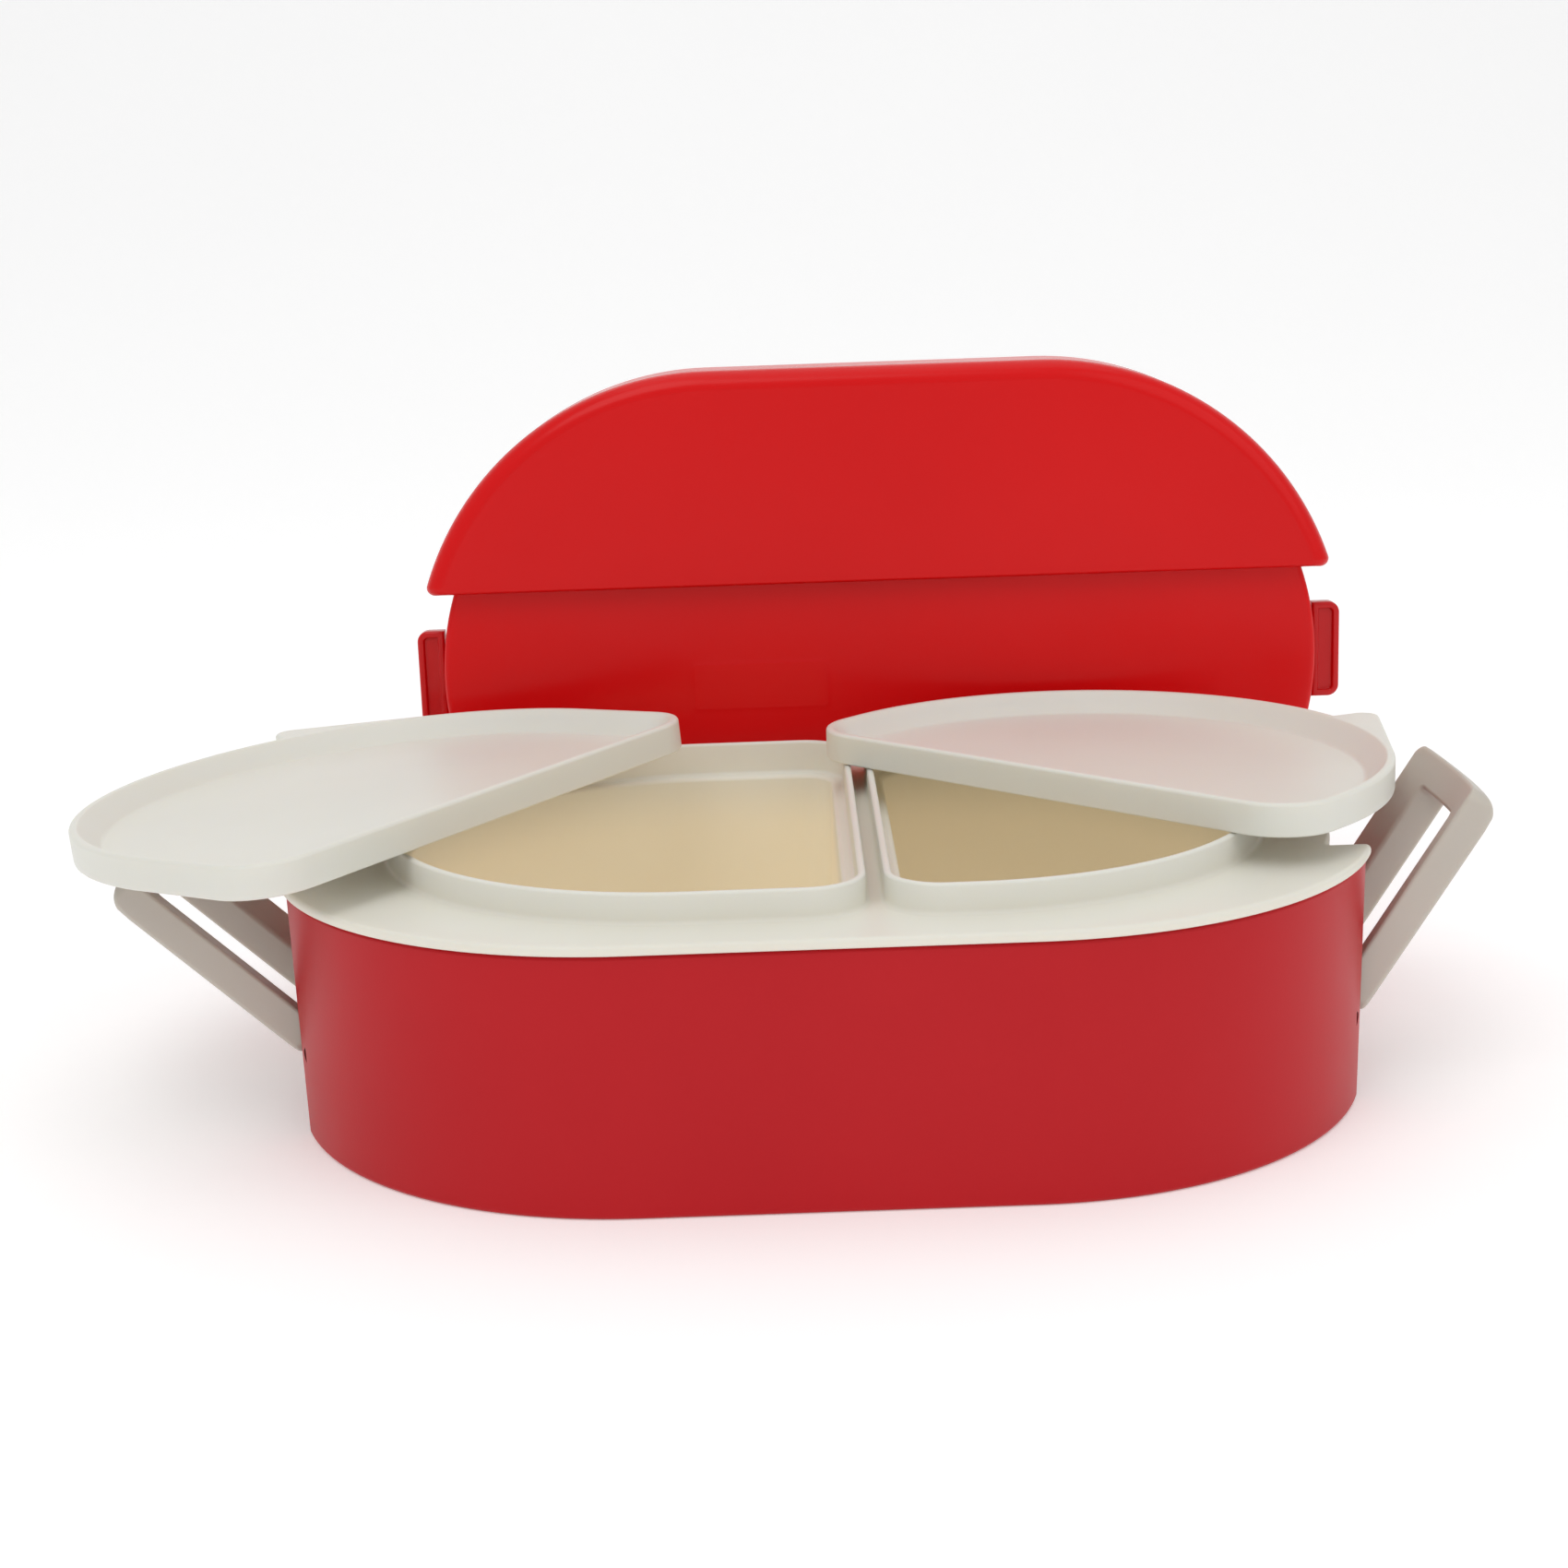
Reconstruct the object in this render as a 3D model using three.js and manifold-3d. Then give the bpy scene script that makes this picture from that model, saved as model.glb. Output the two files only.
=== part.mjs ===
// Oval two-compartment lunch box, shown open.
// Millimetres, +Z up, origin at the centre of the case's underside.
// X runs along the box, Y across it, and the raised lid stands behind it at +Y.

import * as THREE from "three";
import { mergeVertices } from "three/addons/utils/BufferGeometryUtils.js";
import Module from "manifold-3d";

// Outer case: a stadium outline with a channel at each end for the latch handle.
const CASE_HALF_STRAIGHT = 33.2;
const CASE_RADIUS = 66;
const CASE_HEIGHT = 45.6;
const CASE_WALL = 2;
const CASE_FLOOR = 2;
const CASE_DRAFT = 0.8;
const CHANNEL_HALF_WIDTH = 20.4;
const CHANNEL_RADIUS = 59.3;

// Food tray: a flange over the case's mouth, with two walled compartments.
const FLANGE_OVERHANG = 0.9;
const FLANGE_BASE = CASE_HEIGHT + 0.2;
const FLANGE_TOP = CASE_HEIGHT + 2;
const LOCATING_RIB_DEPTH = 2;
const LOCATING_RIB_WALL = 1.6;
const COLLAR_TOP = FLANGE_TOP + 5.4;
const TRAY_WALL = 1.3;
const LEDGE_WIDTH = 2.4;
const LEDGE_DROP = 1.2;
const BOWL_BASE = 4.4;
const COMPARTMENT_CENTRE = 24;
const COMPARTMENT_RADIUS = 56;
const COMPARTMENT_CORNER = 10;
const LEFT_DIVIDER_FACE = 6.35;
const RIGHT_DIVIDER_FACE = 9.35;

// Inner lids: one for each compartment, with a groove that fits the collar.
const INNER_LID_HEIGHT = 6;
const INNER_LID_GROW = 1.2;
const SKIRT_WALL = 1;
const RIM_WIDTH = 3.7;
const GROOVE_DEPTH = 4.4;
const PANEL_BASE = 0.6;
const PANEL_TOP = 1.8;
const TAB_THICKNESS = 1.6;
const TAB_PEAK_RADIUS = 65.4;
const TAB_SIDE_ANGLE = THREE.MathUtils.degToRad(-25.5);
const TAB_CORNER = 3;

// Where the inner lids lie: loosely across the open tray.
const LEFT_LID_POSE = { x: -97.9, y: 21.7, z: 51.8, yaw: -38, rise: 4.57, roll: 0.5 };
const RIGHT_LID_POSE = { x: 63.3, y: 24.9, z: 53.15, yaw: 46.3, rise: 0, roll: 0 };

// Outer lid: a hollow shell with a lowered band along the middle of its top.
const LID_HALF_STRAIGHT = 34.7;
const LID_RADIUS = 63.6;
const LID_DEPTH = 17.4;
const LID_WALL = 1.8;
const LID_EDGE_ROUND = 3.5;
const BAND_HALF_WIDTH = 18.8;
const BAND_DROP = 4;
const BAND_END_RADIUS = 57.8;
const LID_POSE = { x: 13.9, y: 69.5, z: 64.05, yaw: -0.7, lean: 1 };

// Lid catches: the ledges that the latch handles hook over.
const CATCH_HALF_WIDTH = 10.2;
const CATCH_OUTER_X = 98.6;
const CATCH_TOP = -9.6;
const CATCH_THICKNESS = 3.6;
const CATCH_ROOT_DEPTH = 1.2;
const CATCH_FRAME = 1.4;
const CATCH_RECESS = 1.2;
const CATCH_CORNER = 2.4;

// Latch handles: curved frames that pivot low in the end channels.
const PIVOT_X = 92.6;
const PIVOT_Z = 16.5;
const HANDLE_TOP = 45.8;
const HANDLE_BASE = 1;
const HANDLE_HALF_WIDTH = 18.75;
const HANDLE_INNER_RADIUS = 59.7;
const HANDLE_OUTER_RADIUS = 65.8;
const HANDLE_CORNER = 4.5;
const WINDOW_HALF_WIDTH = 10.5;
const WINDOW_BASE = 5;
const WINDOW_TOP = 39.2;
const LEFT_HANDLE_TILT = 47.4;
const RIGHT_HANDLE_TILT = 32.6;

// Trunnions: round stubs moulded on the handle's feet, turning in holes in the channel's sides.
const FOOT_RADIUS = 1.9;
const FOOT_INNER_Y = 14.5;
const TRUNNION_RADIUS = 1.5;
const TRUNNION_END_Y = 22;
const TRUNNION_HOLE_RADIUS = 1.8;

const ARC_STEPS = 18;
const MESH_TOLERANCE = 0.04;
const CUT = 200;

const red = { color: 0xc8202a, roughness: 0.42, metalness: 0 };
const glossRed = { color: 0xd21c20, roughness: 0.25, metalness: 0 };
const catchRed = { color: 0xb8161c, roughness: 0.22, metalness: 0 };
const cream = { color: 0xf1eee0, roughness: 0.45, metalness: 0 };

const wasm = await Module();
wasm.setup();

// Turns a closed geometry into a solid that can be joined and cut.
function toSolid(geometry) {
  const bare = geometry.clone();
  bare.deleteAttribute("normal");
  bare.deleteAttribute("uv");
  const merged = mergeVertices(bare, 1e-4);
  const mesh = new wasm.Mesh({
    numProp: 3,
    vertProperties: new Float32Array(merged.attributes.position.array),
    triVerts: new Uint32Array(merged.index.array),
  });
  return new wasm.Manifold(mesh);
}

function toMesh(name, solid, finish) {
  const { vertProperties, triVerts } = solid.simplify(MESH_TOLERANCE).getMesh();
  const geometry = new THREE.BufferGeometry();
  geometry.setAttribute("position", new THREE.BufferAttribute(vertProperties, 3));
  geometry.setIndex(new THREE.BufferAttribute(triVerts, 1));
  geometry.computeVertexNormals();
  const mesh = new THREE.Mesh(geometry, new THREE.MeshStandardMaterial(finish));
  mesh.name = name;
  return mesh;
}

// An upright prism of a flat shape, from a base height to a top height.
function prismGeometry(shape, base, top) {
  const geometry = new THREE.ExtrudeGeometry(shape, {
    depth: top - base,
    bevelEnabled: false,
    curveSegments: ARC_STEPS,
  });
  return geometry.translate(0, 0, base);
}

function prism(shape, base, top) {
  return toSolid(prismGeometry(shape, base, top));
}

function box(x0, x1, y0, y1, z0, z1) {
  const geometry = new THREE.BoxGeometry(x1 - x0, y1 - y0, z1 - z0);
  return toSolid(geometry.translate((x0 + x1) / 2, (y0 + y1) / 2, (z0 + z1) / 2));
}

// A round bar along Y through the point (x, z).
function barAlongY(radius, y0, y1, x, z) {
  const geometry = new THREE.CylinderGeometry(radius, radius, y1 - y0, 20);
  return toSolid(geometry.translate(x, (y0 + y1) / 2, z));
}

function stadium(halfStraight, radius) {
  const shape = new THREE.Shape();
  shape.moveTo(-halfStraight, -radius);
  shape.absarc(halfStraight, 0, radius, -Math.PI / 2, Math.PI / 2, false);
  shape.absarc(-halfStraight, 0, radius, Math.PI / 2, 1.5 * Math.PI, false);
  shape.closePath();
  return shape;
}

// A stadium with a channel cut into each end, down to a smaller end radius.
function channelledStadium(halfStraight, radius, channelHalf, channelRadius) {
  const outer = Math.asin(channelHalf / radius);
  const inner = Math.asin(channelHalf / channelRadius);
  const shape = new THREE.Shape();
  shape.moveTo(-halfStraight, -radius);
  for (const [centre, turn] of [[halfStraight, 0], [-halfStraight, Math.PI]]) {
    shape.absarc(centre, 0, radius, turn - Math.PI / 2, turn - outer, false);
    shape.absarc(centre, 0, channelRadius, turn - inner, turn + inner, false);
    shape.absarc(centre, 0, radius, turn + outer, turn + Math.PI / 2, false);
  }
  shape.closePath();
  return shape;
}

// A compartment's D outline: a straight side at x = chord and a round end towards +X.
// grow moves the whole outline outwards.
function compartment(chord, grow) {
  const radius = COMPARTMENT_RADIUS + grow;
  const corner = COMPARTMENT_CORNER + grow;
  const side = chord - grow;
  const shape = new THREE.Shape();
  shape.moveTo(side + corner, -radius);
  shape.absarc(COMPARTMENT_CENTRE, 0, radius, -Math.PI / 2, Math.PI / 2, false);
  shape.absarc(side + corner, radius - corner, corner, Math.PI / 2, Math.PI, false);
  shape.absarc(side + corner, corner - radius, corner, Math.PI, 1.5 * Math.PI, false);
  shape.closePath();
  return shape;
}

// A fin outside a compartment's round end: one steep side, a rounded peak, and a long edge
// that runs tangent to the rim.
function pullTab(rimRadius) {
  const slope = Math.acos(rimRadius / TAB_PEAK_RADIUS);
  const normal = TAB_SIDE_ANGLE - slope;
  const side = TAB_SIDE_ANGLE + Math.PI / 2;
  const offset = (rimRadius - TAB_CORNER) / Math.cos(slope);
  const hub = new THREE.Vector2(offset * Math.cos(TAB_SIDE_ANGLE), offset * Math.sin(TAB_SIDE_ANGLE));
  const shape = new THREE.Shape();
  const root = rimRadius - 2;
  shape.moveTo(root * Math.cos(TAB_SIDE_ANGLE), root * Math.sin(TAB_SIDE_ANGLE) + TAB_CORNER);
  shape.lineTo(root * Math.cos(normal), root * Math.sin(normal));
  shape.absarc(hub.x, hub.y, TAB_CORNER, normal, side, false);
  shape.closePath();
  return shape;
}

// A rectangle centred on Y, with its two corners at x1 rounded.
function tongue(x0, x1, halfWidth, corner) {
  const shape = new THREE.Shape();
  shape.moveTo(x0, -halfWidth);
  shape.absarc(x1 - corner, corner - halfWidth, corner, -Math.PI / 2, 0, false);
  shape.absarc(x1 - corner, halfWidth - corner, corner, 0, Math.PI / 2, false);
  shape.lineTo(x0, halfWidth);
  shape.closePath();
  return shape;
}

// Draws a prism's base in by the case's draft.
function draftBase(geometry, halfStraight, radius, draft, height) {
  const position = geometry.attributes.position;
  const reach = halfStraight + radius;
  for (let i = 0; i < position.count; i += 1) {
    const share = 1 - position.getZ(i) / height;
    position.setX(i, position.getX(i) * (1 - (draft * share) / reach));
    position.setY(i, position.getY(i) * (1 - (draft * share) / radius));
  }
  return geometry;
}

function makeCase() {
  const outline = channelledStadium(
    CASE_HALF_STRAIGHT, CASE_RADIUS, CHANNEL_HALF_WIDTH, CHANNEL_RADIUS);
  const cavity = channelledStadium(
    CASE_HALF_STRAIGHT, CASE_RADIUS - CASE_WALL,
    CHANNEL_HALF_WIDTH + CASE_WALL, CHANNEL_RADIUS - CASE_WALL);
  const shell = (shape, base, top) => toSolid(draftBase(
    prismGeometry(shape, base, top), CASE_HALF_STRAIGHT, CASE_RADIUS, CASE_DRAFT, CASE_HEIGHT));
  let solid = shell(outline, 0, CASE_HEIGHT).subtract(shell(cavity, CASE_FLOOR, CASE_HEIGHT + 1));
  for (const x of [-PIVOT_X, PIVOT_X]) {
    solid = solid.subtract(barAlongY(TRUNNION_HOLE_RADIUS, -25, 25, x, PIVOT_Z));
  }
  return toMesh("outer_case", solid, red);
}

// Both compartments' outlines, grown by the same amount, as one solid.
function compartmentPair(grow, base, top) {
  const left = prismGeometry(compartment(-LEFT_DIVIDER_FACE, grow), base, top);
  const right = prism(compartment(RIGHT_DIVIDER_FACE, grow), base, top);
  return toSolid(left.rotateZ(Math.PI)).add(right);
}

function makeTray() {
  const flange = prism(channelledStadium(
    CASE_HALF_STRAIGHT, CASE_RADIUS + FLANGE_OVERHANG, CHANNEL_HALF_WIDTH, CHANNEL_RADIUS),
  FLANGE_BASE, FLANGE_TOP);
  const ribRadius = CASE_RADIUS - CASE_WALL - 0.5;
  const ribChannel = CHANNEL_HALF_WIDTH + CASE_WALL + 0.5;
  const ribChannelRadius = CHANNEL_RADIUS - CASE_WALL - 0.5;
  const rib = prism(channelledStadium(
    CASE_HALF_STRAIGHT, ribRadius, ribChannel, ribChannelRadius),
  FLANGE_BASE - LOCATING_RIB_DEPTH, FLANGE_BASE + 0.5).subtract(prism(channelledStadium(
    CASE_HALF_STRAIGHT, ribRadius - LOCATING_RIB_WALL, ribChannel + LOCATING_RIB_WALL,
    ribChannelRadius - LOCATING_RIB_WALL),
  FLANGE_BASE - LOCATING_RIB_DEPTH - 1, FLANGE_BASE));
  const bowlGrow = -LEDGE_WIDTH;
  const ledge = FLANGE_TOP - LEDGE_DROP;
  const solid = flange
    .add(rib)
    .add(compartmentPair(0, FLANGE_BASE - 1.5, COLLAR_TOP))
    .add(compartmentPair(bowlGrow, BOWL_BASE, FLANGE_BASE))
    .subtract(compartmentPair(-TRAY_WALL, ledge, COLLAR_TOP + 1))
    .subtract(compartmentPair(bowlGrow - TRAY_WALL, BOWL_BASE + TRAY_WALL, COLLAR_TOP + 1));
  return toMesh("food_tray", solid, cream);
}

function makeInnerLid(name, chord, side, pose) {
  const outline = (grow, base, top) => prism(compartment(chord, grow), base, top);
  const grow = INNER_LID_GROW;
  const groove = outline(grow - SKIRT_WALL, -1, GROOVE_DEPTH)
    .subtract(outline(grow + SKIRT_WALL - RIM_WIDTH, -2, GROOVE_DEPTH + 1));
  const tab = prismGeometry(pullTab(COMPARTMENT_RADIUS + grow),
    INNER_LID_HEIGHT - TAB_THICKNESS, INNER_LID_HEIGHT);
  const solid = outline(grow, 0, INNER_LID_HEIGHT)
    .add(toSolid(tab.translate(COMPARTMENT_CENTRE, 0, 0)))
    .subtract(groove)
    .subtract(outline(grow - RIM_WIDTH, PANEL_TOP, INNER_LID_HEIGHT + 1))
    .subtract(outline(grow - RIM_WIDTH, -1, PANEL_BASE));
  const mesh = toMesh(name, solid, cream);
  mesh.geometry.translate(-2 * (COMPARTMENT_CENTRE - 2), 0, 0);
  mesh.geometry.rotateZ(side > 0 ? 0 : Math.PI);
  mesh.position.set(pose.x, pose.y, pose.z);
  mesh.rotation.set(
    THREE.MathUtils.degToRad(-pose.roll),
    THREE.MathUtils.degToRad(-pose.rise),
    THREE.MathUtils.degToRad(pose.yaw), "XYZ");
  return mesh;
}

// A stadium plate whose upper edge is rounded over.
function roundedPlate(halfStraight, radius, base, top, round) {
  const geometry = new THREE.ExtrudeGeometry(stadium(halfStraight, radius), {
    depth: top - base - round,
    bevelEnabled: true,
    bevelThickness: round,
    bevelSize: round,
    bevelOffset: -round,
    bevelSegments: 4,
    curveSegments: ARC_STEPS,
  });
  return toSolid(geometry.translate(0, 0, base));
}

// The lid's own frame has its top face at z = 0 and its mouth at z = -LID_DEPTH.
function makeLid() {
  const body = roundedPlate(LID_HALF_STRAIGHT, LID_RADIUS, -LID_DEPTH, 0, LID_EDGE_ROUND)
    .intersect(box(-CUT, CUT, -CUT, CUT, -LID_DEPTH, 1));
  const endCut = (radius, halfWidth, base) => box(-CUT, CUT, -halfWidth, halfWidth, base, 5)
    .subtract(prism(stadium(LID_HALF_STRAIGHT, radius), base - 1, 6));
  const bandCut = box(-CUT, CUT, -BAND_HALF_WIDTH, BAND_HALF_WIDTH, -BAND_DROP, 5);
  const inside = prism(stadium(LID_HALF_STRAIGHT, LID_RADIUS - LID_WALL),
    -LID_DEPTH - 1, -LID_WALL)
    .subtract(endCut(BAND_END_RADIUS - LID_WALL, BAND_HALF_WIDTH + LID_WALL, -LID_DEPTH - 2))
    .subtract(box(-CUT, CUT, -BAND_HALF_WIDTH - LID_WALL, BAND_HALF_WIDTH + LID_WALL,
      -BAND_DROP - LID_WALL, 5));
  return body
    .subtract(bandCut)
    .subtract(endCut(BAND_END_RADIUS, BAND_HALF_WIDTH, -LID_DEPTH - 1))
    .subtract(inside);
}

// A ledge that stands out from the band's end wall, with a framed recess on top.
function makeCatch() {
  const root = LID_HALF_STRAIGHT + BAND_END_RADIUS;
  const seat = prism(stadium(LID_HALF_STRAIGHT, BAND_END_RADIUS + 0.3), -LID_DEPTH, 1);
  const plate = prism(tongue(root - 3, CATCH_OUTER_X, CATCH_HALF_WIDTH, CATCH_CORNER),
    CATCH_TOP - CATCH_THICKNESS, CATCH_TOP);
  const recess = prism(tongue(root + CATCH_FRAME + 0.6, CATCH_OUTER_X - CATCH_FRAME,
    CATCH_HALF_WIDTH - CATCH_FRAME, CATCH_CORNER / 2), CATCH_TOP - CATCH_RECESS, CATCH_TOP + 1);
  return plate.subtract(seat).subtract(recess);
}

function makeLidGroup() {
  const group = new THREE.Group();
  group.add(toMesh("outer_lid", makeLid(), glossRed));
  for (const [name, turn] of [["lid_catch_left", Math.PI], ["lid_catch_right", 0]]) {
    const catchMesh = toMesh(name, makeCatch(), catchRed);
    catchMesh.rotation.z = turn;
    group.add(catchMesh);
  }
  group.rotation.set(THREE.MathUtils.degToRad(90 - LID_POSE.lean), 0, 0);
  const stand = new THREE.Group();
  stand.add(group);
  stand.rotation.z = THREE.MathUtils.degToRad(LID_POSE.yaw);
  stand.position.set(LID_POSE.x, LID_POSE.y, LID_POSE.z);
  return stand;
}

// The handle's side view: x outwards from the pivot, y up the arm.
function handleSide() {
  const reach = CASE_HALF_STRAIGHT + HANDLE_OUTER_RADIUS - PIVOT_X;
  const shape = new THREE.Shape();
  shape.moveTo(-reach, HANDLE_BASE);
  shape.lineTo(reach, HANDLE_BASE);
  shape.absarc(reach - HANDLE_CORNER, HANDLE_TOP - HANDLE_CORNER, HANDLE_CORNER,
    0, Math.PI / 2, false);
  shape.lineTo(-reach, HANDLE_TOP);
  shape.closePath();
  return shape;
}

// One handle, standing upright about its pivot and facing +X. Its faces are rings about the
// centre of the case's round end, so it lies flush with the channel when it is shut.
function makeHandle() {
  const side = new THREE.ExtrudeGeometry(handleSide(), {
    depth: 2 * HANDLE_HALF_WIDTH,
    bevelEnabled: false,
    curveSegments: 8,
  });
  const plate = toSolid(side.rotateX(Math.PI / 2).translate(0, HANDLE_HALF_WIDTH, 0));
  const ring = (radius) => {
    const geometry = new THREE.CylinderGeometry(radius, radius, 120, 120);
    return toSolid(geometry.rotateX(Math.PI / 2).translate(CASE_HALF_STRAIGHT - PIVOT_X, 0, 20));
  };
  let solid = plate
    .intersect(ring(HANDLE_OUTER_RADIUS))
    .subtract(ring(HANDLE_INNER_RADIUS))
    .subtract(box(-30, 30, -WINDOW_HALF_WIDTH, WINDOW_HALF_WIDTH, WINDOW_BASE, WINDOW_TOP));
  for (const turn of [1, -1]) {
    const [y0, y1] = [FOOT_INNER_Y * turn, HANDLE_HALF_WIDTH * turn].sort((a, b) => a - b);
    solid = solid
      .add(barAlongY(FOOT_RADIUS, y0, y1, 0, 0))
      .add(box(-FOOT_RADIUS, FOOT_RADIUS, y0, y1, 0, HANDLE_BASE + 1));
  }
  return solid.add(barAlongY(TRUNNION_RADIUS, HANDLE_HALF_WIDTH - 1, TRUNNION_END_Y, 0, 0))
    .add(barAlongY(TRUNNION_RADIUS, -TRUNNION_END_Y, 1 - HANDLE_HALF_WIDTH, 0, 0));
}

// A handle hung at one end of the case (side is -1 or 1) and tilted outwards.
function hangHandle(name, side, tilt) {
  const swing = new THREE.Group();
  swing.add(toMesh(name, makeHandle(), cream));
  swing.rotation.y = THREE.MathUtils.degToRad(tilt);
  const hung = new THREE.Group();
  hung.add(swing);
  hung.position.set(side * PIVOT_X, 0, PIVOT_Z);
  hung.rotation.z = side > 0 ? 0 : Math.PI;
  return hung;
}

const lunchBox = new THREE.Group();
lunchBox.add(makeCase());
lunchBox.add(makeTray());
lunchBox.add(makeInnerLid("inner_lid_left", -LEFT_DIVIDER_FACE, -1, LEFT_LID_POSE));
lunchBox.add(makeInnerLid("inner_lid_right", RIGHT_DIVIDER_FACE, 1, RIGHT_LID_POSE));
lunchBox.add(makeLidGroup());
lunchBox.add(hangHandle("latch_handle_left", -1, LEFT_HANDLE_TILT));
lunchBox.add(hangHandle("latch_handle_right", 1, RIGHT_HANDLE_TILT));

export default lunchBox;
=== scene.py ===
from functools import partial
from math import acos, asin, atan2, cos, pi, radians, sin, sqrt, tan

import bmesh
import bpy
from mathutils import Matrix, Vector


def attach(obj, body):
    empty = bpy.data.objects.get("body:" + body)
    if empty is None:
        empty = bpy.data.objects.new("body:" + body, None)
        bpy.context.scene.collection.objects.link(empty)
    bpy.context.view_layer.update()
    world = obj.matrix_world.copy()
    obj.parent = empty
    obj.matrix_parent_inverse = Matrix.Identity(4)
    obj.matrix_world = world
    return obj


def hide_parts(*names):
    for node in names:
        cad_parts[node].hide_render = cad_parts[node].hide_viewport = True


# Meshes are drawn in millimetres and brought to metres when a piece is finished.
millimetre = 0.001
weldGap = 0.001

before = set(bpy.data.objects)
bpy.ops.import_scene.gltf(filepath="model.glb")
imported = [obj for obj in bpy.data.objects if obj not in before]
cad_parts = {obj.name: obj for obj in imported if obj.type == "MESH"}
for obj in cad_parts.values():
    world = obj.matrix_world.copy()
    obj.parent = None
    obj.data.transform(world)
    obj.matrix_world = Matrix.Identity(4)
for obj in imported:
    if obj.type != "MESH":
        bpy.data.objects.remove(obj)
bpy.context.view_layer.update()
scene = bpy.context.scene


class Socket:
    # One output of a node, with the maths operators that the finishes use.
    def __init__(self, finish, output):
        self.finish = finish
        self.output = output

    def maths(self, operation, first, second):
        return self.finish.node("ShaderNodeMath", {"operation": operation}, {0: first, 1: second})

    def __add__(self, other):
        return self.maths("ADD", self, other)

    __radd__ = __add__

    def __mul__(self, other):
        return self.maths("MULTIPLY", self, other)

    __rmul__ = __mul__


class Finish:
    def __init__(self, name):
        self.material = bpy.data.materials.new(name)
        self.material.use_nodes = True
        self.tree = self.material.node_tree
        self.tree.nodes.clear()
        self.place = self.node("ShaderNodeTexCoord", {}, {}, output="Object")

    def node(self, kind, settings, values, output=0):
        made = self.tree.nodes.new(kind)
        for key, value in settings.items():
            if key == "stops":
                self.setStops(made.color_ramp, value)
            else:
                setattr(made, key, value)
        for key, value in values.items():
            if isinstance(value, Socket):
                self.tree.links.new(value.output, made.inputs[key])
            else:
                made.inputs[key].default_value = value
        return Socket(self, made.outputs[output]) if len(made.outputs) else made

    def setStops(self, ramp, stops):
        while len(ramp.elements) < len(stops):
            ramp.elements.new(0.5)
        for element, (position, colour) in zip(ramp.elements, stops):
            element.position = position
            element.color = colour

    def noise(self, scale, detail=2.0, roughness=0.5):
        return self.node("ShaderNodeTexNoise", {}, {
            "Vector": self.place, "Scale": scale, "Detail": detail, "Roughness": roughness})

    def ramp(self, value, stops):
        return self.node("ShaderNodeValToRGB", {"stops": stops}, {0: value})

    def bump(self, height, distance, strength=1.0):
        return self.node("ShaderNodeBump", {}, {
            "Height": height, "Distance": distance, "Strength": strength})

    # Runs from 0 at one height to 1 at a lower one.
    def depth(self, deep):
        height = self.node("ShaderNodeSeparateXYZ", {}, {0: self.place}, output=2)
        return self.node("ShaderNodeMapRange", {"interpolation_type": "SMOOTHSTEP"}, {
            "Value": height, "From Min": deep["from"], "From Max": deep["to"]})

    def mix(self, share, first, second):
        return self.node("ShaderNodeMixRGB", {}, {0: share, 1: first, 2: second})

    def close(self, values):
        shader = self.node("ShaderNodeBsdfPrincipled", {}, values)
        self.node("ShaderNodeOutputMaterial", {}, {"Surface": shader})
        return self.material


def grey(level):
    return (level, level, level, 1)


# Moulded plastic: a faint drift in colour, a fine moulded grain, and patches of handling gloss.
def mouldedPlastic(name, looks):
    finish = Finish(name)
    drift = finish.noise(looks["driftScale"], 3, 0.55)
    colour = finish.ramp(drift, [(0.3, looks["dark"]), (0.7, looks["light"])])
    # Painted light for the tray's bowls: below a given height the colour mixes towards a warmer
    # tone standing in for warm bounced light, and a faint emission paints a glow there. Other
    # finishes get no emission.
    glow = grey(0)
    if "deep" in looks:
        share = finish.depth(looks["deep"])
        colour = finish.mix(share, colour, looks["deep"]["tone"])
        glow = finish.mix(share, grey(0), looks["deep"]["glow"])
    patches = finish.noise(looks["patchScale"], 4, 0.6)
    low, high = looks["roughness"]
    roughness = low + patches * (high - low)
    grain = finish.noise(looks["grainScale"], 2, 0.5)
    ripple = finish.noise(looks["rippleScale"], 1, 0.4)
    height = grain * looks["grain"] + ripple * looks["ripple"]
    return finish.close({
        "Base Color": colour,
        "Roughness": roughness,
        "IOR": 1.5,
        "Specular IOR Level": looks["specular"],
        "Subsurface Weight": looks["glow"],
        "Subsurface Radius": looks["glowRadius"],
        "Subsurface Scale": 0.003,
        "Emission Color": glow,
        "Emission Strength": 1.0,
        "Normal": finish.bump(height, 0.001),
    })


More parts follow.
